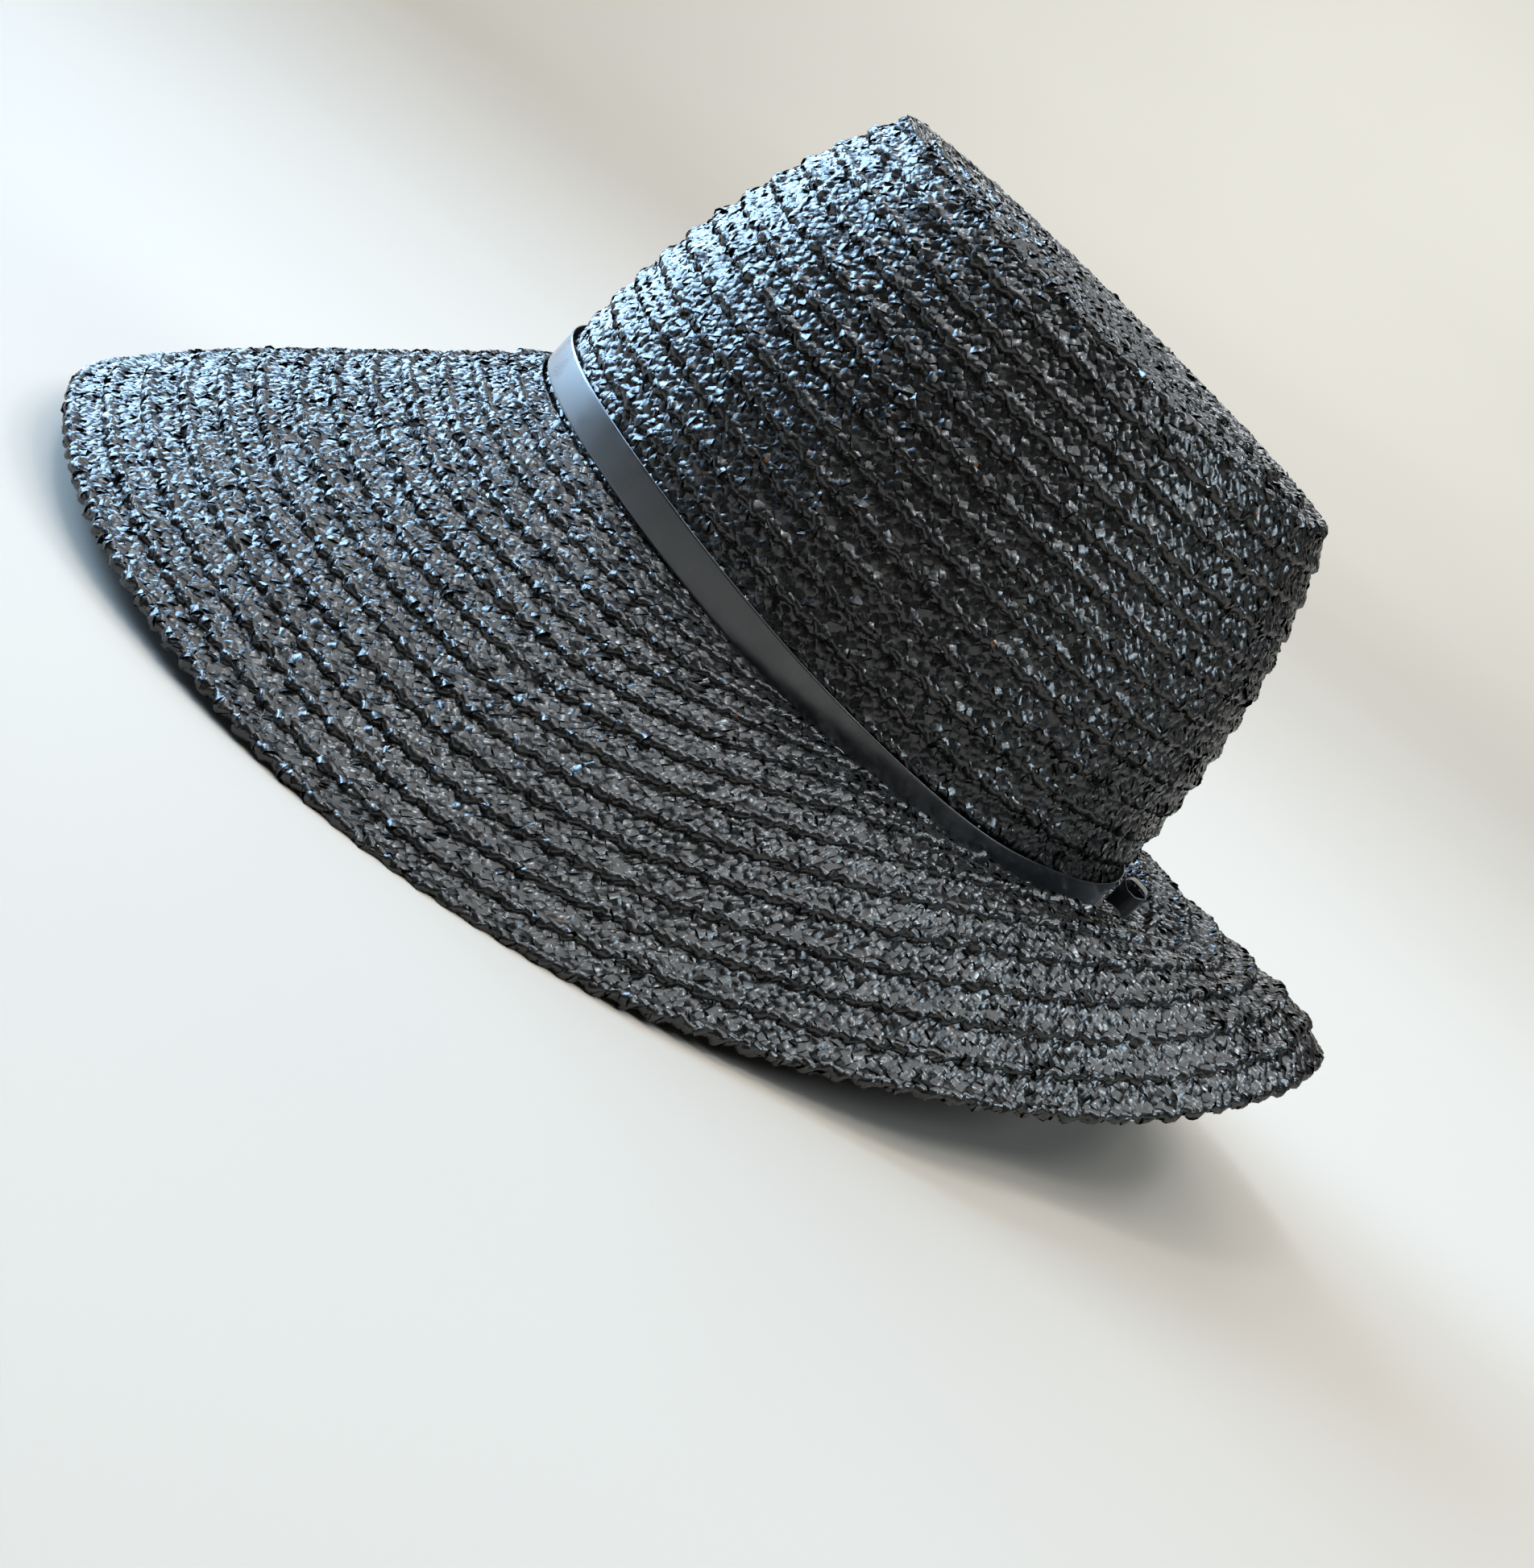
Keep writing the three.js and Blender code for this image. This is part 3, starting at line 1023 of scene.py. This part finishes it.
@dataclass
class RibbonTrim(SubAssembly):
    """The band round the crown's base and the small flat bow at its back.

    The loops and the knot are as thick in the solids as ribbon_solid, which sets their clearances.
    """

    pose: RestPose
    brim: BrimForm
    ribbon: Ribbon
    rng: np.random.Generator
    ribbon_solid: float = 0.8
    segments: int = 360
    ripple: float = 0.25
    ripple_lean: float = 0.04
    ripple_waves: tuple[int, ...] = (7, 11, 17, 29)
    tuck_depth: float = 5.0
    tuck_from: float = math.radians(50)
    tuck_full: float = math.radians(135)
    tuck_back: float = 0.3
    lowest: float = 0.6
    loop_length: float = 11.0
    loop_depth: float = 8.0
    loop_points: int = 80
    loop_lift: float = 0.5
    bow_height: float = 8.0
    pinch_depth: float = 2.2
    pinch_width: float = 0.8
    pinch_rate: float = 2.2
    crest: float = 0.6
    end_width: float = 0.66
    knot_width: float = 5.0
    knot_proud: float = 0.4
    knot_square: float = 0.55
    knot_points: int = 48

    def foot(self, turn: Array) -> Array:
        """Height of the band's lower edge, just clear of the brim.

        Args:
            turn: Turns from the front, in radians.

        Returns:
            Heights in the hat's frame.
        """
        straw = self.brim.straw
        slope = np.radians(self.brim.column("at_crown", turn))
        reach = (self.ribbon_solid + straw.gap) / np.cos(slope)
        heights = [self.brim.surface(turn, d, straw.outside)[..., 2] for d in (np.zeros_like(turn), reach)]
        return np.maximum(*heights) + straw.gap

    def tuck(self, turn: Array) -> Array:
        """How far the band slips down behind the brim's roll, which is most at the sides of the back.

        Args:
            turn: Turns from the front, in radians.

        Returns:
            Depths below the band's level place.
        """
        fold = np.abs(turn)
        down = np.clip((fold - self.tuck_from) / (self.tuck_full - self.tuck_from), 0, 1)
        back = np.clip((fold - self.tuck_full) / (math.pi - self.tuck_full), 0, 1)
        ease_down, ease_back = (share**2 * (3 - 2 * share) for share in (down, back))
        return self.tuck_depth * ease_down * lerp(1.0, self.tuck_back, ease_back)

    def band_line(self) -> RibbonLine:
        """Lays the band round the crown's base with a few soft ripples.

        Returns:
            The band's course.
        """
        turn = np.linspace(-math.pi, math.pi, self.segments, endpoint=False)
        base = self.brim.crown.base
        out = self.brim.straw.seat + self.ribbon_solid / 2
        ripple = sum(np.cos(n * turn + self.rng.uniform(0, FULL_TURN)) / n for n in self.ripple_waves)
        plan = base.point(turn) + base.outward(turn) * (out + self.ripple * ripple)[:, None]
        level = self.foot(turn) - self.tuck(turn)
        upper = level + self.ribbon.width
        lower = np.maximum(level, self.lowest)
        path = np.concatenate([plan, ((upper + lower) / 2)[:, None]], -1)
        outward = np.concatenate([base.outward(turn), np.zeros((len(turn), 1))], -1)
        side = unit(np.array(UP) + outward * (self.ripple_lean * ripple)[:, None])
        return RibbonLine(path, side, upper - lower, closed=True)

    def bow_seat(self) -> Array:
        """Finds room for the bow behind the band, clear of the brim.

        Returns:
            The middle of the bow.
        """
        straw = self.brim.straw
        base = self.brim.crown.base
        loop_turn = math.pi - math.asin(self.loop_length / base.half_width)
        reach = self.ribbon_solid + self.loop_depth + 2 * straw.gap
        turns = np.array([loop_turn, math.pi])
        clear = np.array([straw.gap, self.ribbon_solid + 2 * straw.gap])
        foot = (self.brim.surface(turns, np.full(2, reach), straw.outside)[:, 2] + clear).max()
        back = base.half_length + straw.seat + self.ribbon_solid + straw.gap + self.loop_depth / 2
        return np.array([0.0, back, foot + self.bow_height / 2])

    def loop_line(self, hand: int, seat: Array) -> RibbonLine:
        """Bends one bow loop, out along the band side and back outside.

        Args:
            hand: 1 for the loop at +X and -1 for the one at -X.
            seat: Middle of the bow.

        Returns:
            The loop's course.
        """
        angle = np.linspace(0, math.pi, self.loop_points)
        going_out = angle <= math.pi / 2
        share = (1 - np.cos(angle)) / 2
        share = np.where(going_out, 2 * share, 2 - 2 * share)
        inset = self.ribbon_solid / 2
        rise = np.clip(share / self.crest, 0, 1)
        swell = lerp(self.pinch_depth, self.loop_depth, (1 - np.cos(math.pi * rise)) / 2) / 2 - inset
        fall = np.clip((share - self.crest) / (1 - self.crest), 0, 1)
        depth = swell * np.sqrt(1 - fall**2)
        x = hand * (self.loop_length - inset) * share
        y = np.where(going_out, -depth, depth)
        path = np.stack([x, y, self.loop_lift * share**2], -1) + seat
        gather = lerp(self.pinch_width, 1.0, np.clip(share * self.pinch_rate, 0, 1))
        widths = self.bow_height * gather * lerp(1.0, self.end_width, fall**2)
        return RibbonLine(path, np.tile(UP, (len(path), 1)), widths, closed=False)

    def knot_line(self, seat: Array) -> RibbonLine:
        """Wraps the knot round the bow's middle.

        Args:
            seat: Middle of the bow.

        Returns:
            The knot's course.
        """
        angle = np.linspace(0, FULL_TURN, self.knot_points, endpoint=False)
        half_sizes = (self.loop_depth / 2 - self.knot_proud, self.bow_height / 2 + self.knot_proud)
        waves = (np.cos(angle), np.sin(angle))
        y, z = (h * np.sign(w) * np.abs(w) ** self.knot_square for h, w in zip(half_sizes, waves))
        path = np.stack([np.zeros_like(y), y, z], -1) + seat
        side = np.tile([1.0, 0.0, 0.0], (self.knot_points, 1))
        return RibbonLine(path, side, np.full(self.knot_points, self.knot_width), closed=True)

    def sew(self, name: str, node: Node, line: RibbonLine) -> bpy.types.Object:
        """Builds one ribbon piece.

        Args:
            name: The piece's name.
            node: The solid that it stands for.
            line: The ribbon's course.

        Returns:
            The piece, riding on the hat.
        """
        parts = MeshParts(self.pose)
        parts.add_tube(self.ribbon.strip(line), closed=line.closed)
        piece = parts.to_object(name)
        self.note_places(piece, line)
        return ride_on_hat(piece, node, Slot.RIBBON)

    def note_places(self, piece: bpy.types.Object, line: RibbonLine) -> None:
        """Stores each point's place along and across its ribbon, in millimetres.

        Args:
            piece: The ribbon piece.
            line: The ribbon's course.
        """
        steps = np.linalg.norm(np.diff(line.path, axis=0, prepend=line.path[:1]), axis=1)
        around = self.ribbon.places() / 2
        along = np.repeat(np.cumsum(steps), len(around))
        across = np.outer(line.widths, around).ravel()
        values = np.stack([along, across, np.zeros_like(along)], -1).astype(np.float32)
        place = piece.data.attributes.new(RIBBON_PLACE, "FLOAT_VECTOR", "POINT")
        place.data.foreach_set("vector", values.ravel())

    def build(self) -> list[bpy.types.Object]:
        """Builds the band, the bow's loops and its knot.

        Returns:
            The ribbon pieces.
        """
        seat = self.bow_seat()
        return [
            self.sew("satin_band", Node.BAND, self.band_line()),
            self.sew("bow_loop_left", Node.BOW, self.loop_line(1, seat)),
            self.sew("bow_loop_right", Node.BOW, self.loop_line(-1, seat)),
            self.sew("bow_knot_wrap", Node.KNOT, self.knot_line(seat)),
        ]


# Finishes


class NodeSheet:
    """A node tree with short calls to add nodes and join them."""

    NOISE_RANGE = (0.3, 0.7)
    MIX_SHARE, MIX_FIRST, MIX_SECOND, MIX_RESULT = 0, 6, 7, 2

    def __init__(self, tree: bpy.types.NodeTree) -> None:
        """Keeps the tree that nodes are added to."""
        self.tree = tree

    def fill(self, node: bpy.types.Node, inputs: dict) -> None:
        """Sets a node's inputs.

        Args:
            node: The node.
            inputs: Values, or sockets to join, by the input's name or number.
        """
        for key, value in inputs.items():
            if isinstance(value, Socket):
                self.tree.links.new(value, node.inputs[key])
            else:
                node.inputs[key].default_value = value

    def add(self, kind: str, inputs: dict | None = None, **settings) -> bpy.types.Node:
        """Adds a node.

        Args:
            kind: The node's type name.
            inputs: Values, or sockets to join, by the input's name or number.
            settings: The node's own properties.

        Returns:
            The new node.
        """
        node = self.tree.nodes.new(kind)
        for name, value in settings.items():
            setattr(node, name, value)
        self.fill(node, inputs or {})
        return node

    def group(self, tree: bpy.types.NodeTree, **inputs: float) -> Socket:
        """Places a shared group with its own values, and gives its output."""
        return self.add("ShaderNodeGroup", inputs, node_tree=tree).outputs[0]

    def noise(self, scale: Socket, detail: float) -> Socket:
        """Adds a noise that stays with the object.

        Args:
            scale: The socket that gives its scale.
            detail: How many finer noises are added to it.

        Returns:
            The noise's value, most of which lies in NOISE_RANGE.
        """
        place = self.add("ShaderNodeTexCoord")
        inputs = {"Vector": place.outputs["Object"], "Scale": scale, "Detail": detail}
        return self.add("ShaderNodeTexNoise", inputs).outputs["Fac"]

    def spread(self, noise: Socket, low: float | Socket, high: float | Socket) -> Socket:
        """Spreads a noise over a range.

        Args:
            noise: The noise's value.
            low: Where the range starts.
            high: Where it ends.

        Returns:
            The new value.
        """
        start, end = self.NOISE_RANGE
        inputs = {"Value": noise, "From Min": start, "From Max": end, "To Min": low, "To Max": high}
        return self.add("ShaderNodeMapRange", inputs).outputs["Result"]

    def mix(self, share: Socket, first: Colour | Socket, second: Colour) -> Socket:
        """Mixes two colours.

        Args:
            share: How much of the second colour there is.
            first: The first colour.
            second: The second colour.

        Returns:
            The mixed colour.
        """
        inputs = {self.MIX_SHARE: share, self.MIX_FIRST: first, self.MIX_SECOND: second}
        return self.add("ShaderNodeMix", inputs, data_type="RGBA").outputs[self.MIX_RESULT]

    def bump(self, height: Socket, strength: float, distance: float) -> Socket:
        """Turns heights into a bumpy normal, with the distance in metres."""
        inputs = {"Height": height, "Strength": strength, "Distance": distance}
        return self.add("ShaderNodeBump", inputs).outputs["Normal"]


class FinishGroups:
    """Node groups of the finishes, each built once."""

    def __init__(self) -> None:
        """Builds the groups."""
        self.drift = self.make_drift()
        self.crinkle = self.make_crinkle()

    @staticmethod
    def start(
        name: str, output: str, inputs: dict[str, float]
    ) -> tuple[NodeSheet, bpy.types.Node, bpy.types.Node]:
        """Starts a group with number sockets.

        Args:
            name: The group's name.
            output: Its output.
            inputs: Its inputs with their usual values.

        Returns:
            The sheet of the group, its input node and its output node.
        """
        tree = bpy.data.node_groups.new(name, "ShaderNodeTree")
        for label, value in inputs.items():
            socket = tree.interface.new_socket(label, in_out="INPUT", socket_type="NodeSocketFloat")
            socket.default_value = value
        tree.interface.new_socket(output, in_out="OUTPUT", socket_type="NodeSocketFloat")
        sheet = NodeSheet(tree)
        return sheet, sheet.add("NodeGroupInput"), sheet.add("NodeGroupOutput")

    def make_drift(self) -> bpy.types.NodeTree:
        """Slow change over the surface between two values, such as handling and dust leave.

        Returns:
            A group with Scale, Low and High, and the output Value.
        """
        usual = {"Scale": 30.0, "Low": 0.0, "High": 1.0}
        sheet, given, result = self.start("Slow drift", "Value", usual)
        noise = sheet.noise(given.outputs["Scale"], detail=1.0)
        sheet.fill(result, {"Value": sheet.spread(noise, given.outputs["Low"], given.outputs["High"])})
        return sheet.tree

    def make_crinkle(self) -> bpy.types.NodeTree:
        """Fine creases of a pressed straw tape.

        Returns:
            A group with Scale, and the output Height.
        """
        sheet, given, result = self.start("Crinkle", "Height", {"Scale": 900.0})
        sheet.fill(result, {"Height": sheet.noise(given.outputs["Scale"], detail=0.0)})
        return sheet.tree


@dataclass(frozen=True)
class Finish:
    """What every finish has: a name, and a material with one shader."""

    name: str

    def start(self) -> tuple[bpy.types.Material, NodeSheet, bpy.types.Node]:
        """Starts the material.

        Returns:
            The material, its sheet of nodes and its shader.
        """
        material = bpy.data.materials.new(self.name)
        material.use_nodes = True
        tree = material.node_tree
        return material, NodeSheet(tree), tree.nodes["Principled BSDF"]


@dataclass(frozen=True)
class Stop:
    """One stop of a colour ramp."""

    place: float
    colour: Colour


@dataclass(frozen=True)
class StrawFinish(Finish):
    """Glossy brown-black straw, with a tone for each crease and rare copper flecks."""

    name: str = "glossy_black_straw"
    stops: tuple[Stop, ...] = (
        Stop(0.0, (0.005, 0.0048, 0.0045, 1)),
        Stop(0.55, (0.011, 0.0102, 0.0095, 1)),
        Stop(0.9, (0.024, 0.0215, 0.019, 1)),
        Stop(0.97, (0.17, 0.065, 0.022, 1)),
    )
    dust: Colour = (0.030, 0.027, 0.024, 1)
    dust_scale: float = 24.0
    dust_most: float = 0.15
    gloss: tuple[float, float] = (0.16, 0.34)
    specular: float = 0.65
    crinkle_scale: float = 1100.0
    crease: float = 0.3
    crease_depth: float = 0.0002

    def tone_colour(self, sheet: NodeSheet) -> Socket:
        """Turns each face's tone into its colour.

        Args:
            sheet: The material's nodes.

        Returns:
            The colour.
        """
        tone = sheet.add("ShaderNodeAttribute", attribute_name=TONE)
        ramp = sheet.add("ShaderNodeValToRGB", {"Fac": tone.outputs["Fac"]})
        elements = ramp.color_ramp.elements
        while len(elements) < len(self.stops):
            elements.new(0.5)
        for element, stop in zip(elements, self.stops):
            element.position = stop.place
            element.color = stop.colour
        return ramp.outputs["Color"]

    def material(self, groups: FinishGroups) -> bpy.types.Material:
        """Builds the finish.

        Args:
            groups: The shared node groups.

        Returns:
            The material.
        """
        material, sheet, shader = self.start()
        dust = sheet.group(groups.drift, Scale=self.dust_scale, Low=0.0, High=self.dust_most)
        crinkle = sheet.group(groups.crinkle, Scale=self.crinkle_scale)
        inputs = {
            "Base Color": sheet.mix(dust, self.tone_colour(sheet), self.dust),
            "Roughness": sheet.spread(crinkle, *self.gloss),
            "Normal": sheet.bump(crinkle, self.crease, self.crease_depth),
            "Specular IOR Level": self.specular,
        }
        sheet.fill(shader, inputs)
        return material


@dataclass(frozen=True)
class SatinFinish(Finish):
    """Smooth black satin with fine weft ribs and a soft sheen."""

    name: str = "black_satin"
    dark: Colour = (0.006, 0.0065, 0.007, 1)
    light: Colour = (0.013, 0.014, 0.015, 1)
    tone_scale: float = 60.0
    gloss: tuple[float, float] = (0.26, 0.36)
    gloss_scale: float = 140.0
    rib_pitch: float = 0.45
    rib_strength: float = 0.05
    rib_depth: float = 0.0001
    wave_length: float = 0.314
    specular: float = 0.9
    coat: float = 0.5
    coat_roughness: float = 0.16
    sheen: float = 0.08
    sheen_roughness: float = 0.4
    sheen_tint: Colour = (0.75, 0.85, 1.0, 1)

    def ribs(self, sheet: NodeSheet) -> Socket:
        """Lays ribs across the ribbon; wave_length is that of the wave texture at a scale of 1.

        Args:
            sheet: The material's nodes.

        Returns:
            The ribs' normal.
        """
        place = sheet.add("ShaderNodeAttribute", attribute_name=RIBBON_PLACE)
        inputs = {"Vector": place.outputs["Vector"], "Scale": self.wave_length / self.rib_pitch}
        wave = sheet.add("ShaderNodeTexWave", inputs)
        return sheet.bump(wave.outputs["Fac"], self.rib_strength, self.rib_depth)

    def material(self, groups: FinishGroups) -> bpy.types.Material:
        """Builds the finish.

        Args:
            groups: The shared node groups.

        Returns:
            The material.
        """
        material, sheet, shader = self.start()
        low, high = self.gloss
        inputs = {
            "Base Color": sheet.mix(sheet.group(groups.drift, Scale=self.tone_scale), self.dark, self.light),
            "Roughness": sheet.group(groups.drift, Scale=self.gloss_scale, Low=low, High=high),
            "Normal": self.ribs(sheet),
            "Specular IOR Level": self.specular,
            "Coat Weight": self.coat,
            "Coat Roughness": self.coat_roughness,
            "Sheen Weight": self.sheen,
            "Sheen Roughness": self.sheen_roughness,
            "Sheen Tint": self.sheen_tint,
        }
        sheet.fill(shader, inputs)
        return material


@dataclass(frozen=True)
class PaperFinish(Finish):
    """Plain pale backdrop paper."""

    name: str = "pale_paper"
    dark: Colour = (0.466, 0.402, 0.336, 1)
    light: Colour = (0.486, 0.420, 0.351, 1)
    tone_scale: float = 2.0
    roughness: float = 0.85

    def material(self, groups: FinishGroups) -> bpy.types.Material:
        """Builds the finish.

        Args:
            groups: The shared node groups.

        Returns:
            The material.
        """
        material, sheet, shader = self.start()
        tone = sheet.mix(sheet.group(groups.drift, Scale=self.tone_scale), self.dark, self.light)
        sheet.fill(shader, {"Base Color": tone, "Roughness": self.roughness})
        return material


# Studio


@dataclass(frozen=True)
class SoftLight:
    """A rectangular soft light, a small panel unless it says otherwise."""

    name: str
    place: Triple
    aim: Triple
    colour: Triple
    size: tuple[float, float] = (0.3, 0.3)
    power: float = 4.6
    spread: float = 180.0

    def hang(self) -> None:
        """Hangs the light and turns it towards its aim."""
        lamp = bpy.data.lights.new(self.name, "AREA")
        lamp.shape = "RECTANGLE"
        lamp.size, lamp.size_y = self.size
        lamp.energy = self.power
        lamp.color = self.colour
        lamp.spread = math.radians(self.spread)
        holder = bpy.data.objects.new(self.name, lamp)
        holder.location = self.place
        ahead = Vector(self.aim) - Vector(self.place)
        holder.rotation_mode = "QUATERNION"
        holder.rotation_quaternion = ahead.to_track_quat("-Z", "Y")
        bpy.context.scene.collection.objects.link(holder)


WINDOW_LIGHTS = (
    SoftLight(
        "window_low", place=(-0.74, -1.59, 0.68), aim=(0.0, 0.0, 0.68),
        colour=(0.45, 0.70, 1.0), size=(1.5, 1.3), power=20.0, spread=85.0,
    ),
    SoftLight(
        "window_high", place=(0.0, -1.5, 1.05), aim=(0.0, 0.0, 0.5),
        colour=(0.42, 0.68, 1.0), size=(0.8, 0.6), power=9.5, spread=85.0,
    ),
    SoftLight(
        "window_left", place=(-1.15, -1.25, 0.95), aim=(0.0, 0.0, 0.8),
        colour=(0.44, 0.69, 1.0), size=(0.7, 0.6), power=4.0, spread=75.0,
    ),
)

TOP_LIGHTS = (
    SoftLight(
        "top_light", place=(0.0, 0.1, 2.2), aim=(0.0, 0.0, 0.0),
        colour=(0.94, 0.97, 1.0), size=(3.0, 3.0), power=29.0, spread=120.0,
    ),
    SoftLight("top_front", place=(0.35, -0.55, 1.7), aim=(0.1, 0.0, 0.0), colour=(0.85, 0.94, 1.0)),
    SoftLight("top_left", place=(-0.3, -0.9, 1.5), aim=(0.0, 0.0, 0.0), colour=(0.80, 0.91, 1.0)),
    SoftLight("top_back", place=(0.55, 0.6, 1.6), aim=(0.1, 0.1, 0.0), colour=(0.85, 0.94, 1.0)),
    SoftLight("top_right", place=(0.2, 1.1, 1.45), aim=(0.0, 0.1, 0.0), colour=(0.80, 0.92, 1.0)),
    SoftLight("top_far", place=(-0.7, 0.7, 1.6), aim=(0.0, 0.1, 0.0), colour=(0.80, 0.92, 1.0)),
)

FILL_LIGHTS = (
    SoftLight(
        "right_fill", place=(0.2, 2.2, 1.5), aim=(-0.1, 0.3, 0.0),
        colour=(0.68, 0.86, 1.0), size=(0.8, 0.8), power=22.0,
    ),
    SoftLight(
        "far_light", place=(-1.5, -0.25, 1.05), aim=(0.0, 0.15, 0.1),
        colour=(0.90, 0.96, 1.0), size=(0.6, 0.6), power=0.6, spread=70.0,
    ),
    SoftLight(
        "wall_light", place=(-2.5, -0.1, 2.7), aim=(-3.5, -0.4, 0.4),
        colour=(0.81, 0.92, 1.0), size=(2.0, 2.0), power=78.0, spread=130.0,
    ),
)


@dataclass
class Studio:
    """Pale floor that sweeps up all round, soft lights, and the camera at the photograph's angle."""

    floor_radius: float = 2.0
    floor_rings: tuple[float, ...] = (0.02, 0.2, 0.5, 1.0)
    floor_segments: int = 128
    sweep_radius: float = 3.0
    sweep_from: float = 6.0
    sweep_to: float = 60.0
    sweep_steps: int = 14
    camera_place: Triple = (0.7105, 0.1473, 0.2026)
    camera_aim: Triple = (-0.0541, 0.0174, 0.0061)
    camera_roll: float = 34.81
    lens: float = 62.64
    sensor: float = 36.0
    world_colour: Colour = (1.0, 1.0, 1.0, 1)
    world_strength: float = 0.015
    lights: tuple[SoftLight, ...] = WINDOW_LIGHTS + TOP_LIGHTS + FILL_LIGHTS

    def build(self, groups: FinishGroups) -> None:
        """Builds the floor, the lights, the world and the camera.

        Args:
            groups: The shared node groups.
        """
        self.lay_floor().data.materials.append(PaperFinish().material(groups))
        for light in self.lights:
            light.hang()
        self.set_world()
        self.set_camera()

    def floor_profile(self) -> tuple[Array, Array]:
        """Draws the floor's section, flat and then swept up.

        Returns:
            Distances from the middle, and heights.
        """
        flat = np.array(self.floor_rings) * self.floor_radius
        rise = np.radians(np.linspace(self.sweep_from, self.sweep_to, self.sweep_steps))
        radius = np.concatenate([flat, self.floor_radius + self.sweep_radius * np.sin(rise)])
        height = np.concatenate([np.zeros_like(flat), self.sweep_radius * (1 - np.cos(rise))])
        return radius, height

    def lay_floor(self) -> bpy.types.Object:
        """Builds the floor as a disc whose edge sweeps up.

        Returns:
            The floor.
        """
        radius, height = self.floor_profile()
        turn = np.linspace(0, FULL_TURN, self.floor_segments, endpoint=False)
        x, y = np.outer(np.sin(turn), radius), np.outer(-np.cos(turn), radius)
        points = np.stack([x, y, np.broadcast_to(height, x.shape)], -1).reshape(-1, 3)
        quads = skin(self.floor_segments, len(radius), closed=True, looped=False)[:, ::-1]
        middle = list(range(0, len(points), len(radius)))
        mesh = bpy.data.meshes.new("studio_floor")
        mesh.from_pydata(points.tolist(), [], quads.tolist() + [middle])
        mesh.shade_smooth()
        floor = bpy.data.objects.new("studio_floor", mesh)
        bpy.context.scene.collection.objects.link(floor)
        return floor

    def set_world(self) -> None:
        """Fills the room with weak light, and shows colours as a camera's plain picture does."""
        world = bpy.data.worlds.new("room")
        world.use_nodes = True
        background = world.node_tree.nodes["Background"]
        background.inputs["Color"].default_value = self.world_colour
        background.inputs["Strength"].default_value = self.world_strength
        bpy.context.scene.world = world
        bpy.context.scene.view_settings.view_transform = "Standard"

    def set_camera(self) -> None:
        """Sets the camera at the photograph's angle to the hat, rolled as the hat is tipped there."""
        camera = bpy.data.cameras.new("camera")
        camera.lens = self.lens
        camera.sensor_width = self.sensor
        holder = bpy.data.objects.new("camera", camera)
        ahead = Vector(self.camera_aim) - Vector(self.camera_place)
        turned = ahead.to_track_quat("-Z", "Y").to_matrix().to_4x4()
        roll = Matrix.Rotation(math.radians(self.camera_roll), 4, "Z")
        holder.matrix_world = Matrix.Translation(self.camera_place) @ turned @ roll
        bpy.context.scene.collection.objects.link(holder)
        bpy.context.scene.camera = holder


def main() -> None:
    """Builds the hat's sub-assemblies in order, finishes them and sets the studio."""
    logging.basicConfig(level=logging.INFO, format="%(name)s: %(message)s")
    pose = RestPose.from_record(frame["record"])
    rng = np.random.default_rng(SEED)
    crown_form = CrownForm()
    brim_form = BrimForm(crown_form, Straw())
    braid = Braid()
    groups = FinishGroups()
    straw_finish = StrawFinish().material(groups)
    Crown(crown_form, BraidWork(pose, braid, Node.CROWN, rng)).dress(straw_finish)
    Brim(brim_form, BraidWork(pose, braid, Node.BRIM, rng)).dress(straw_finish)
    RibbonTrim(pose, brim_form, Ribbon(), rng).dress(SatinFinish().material(groups))
    Studio().build(groups)


if __name__ == "__main__":
    main()
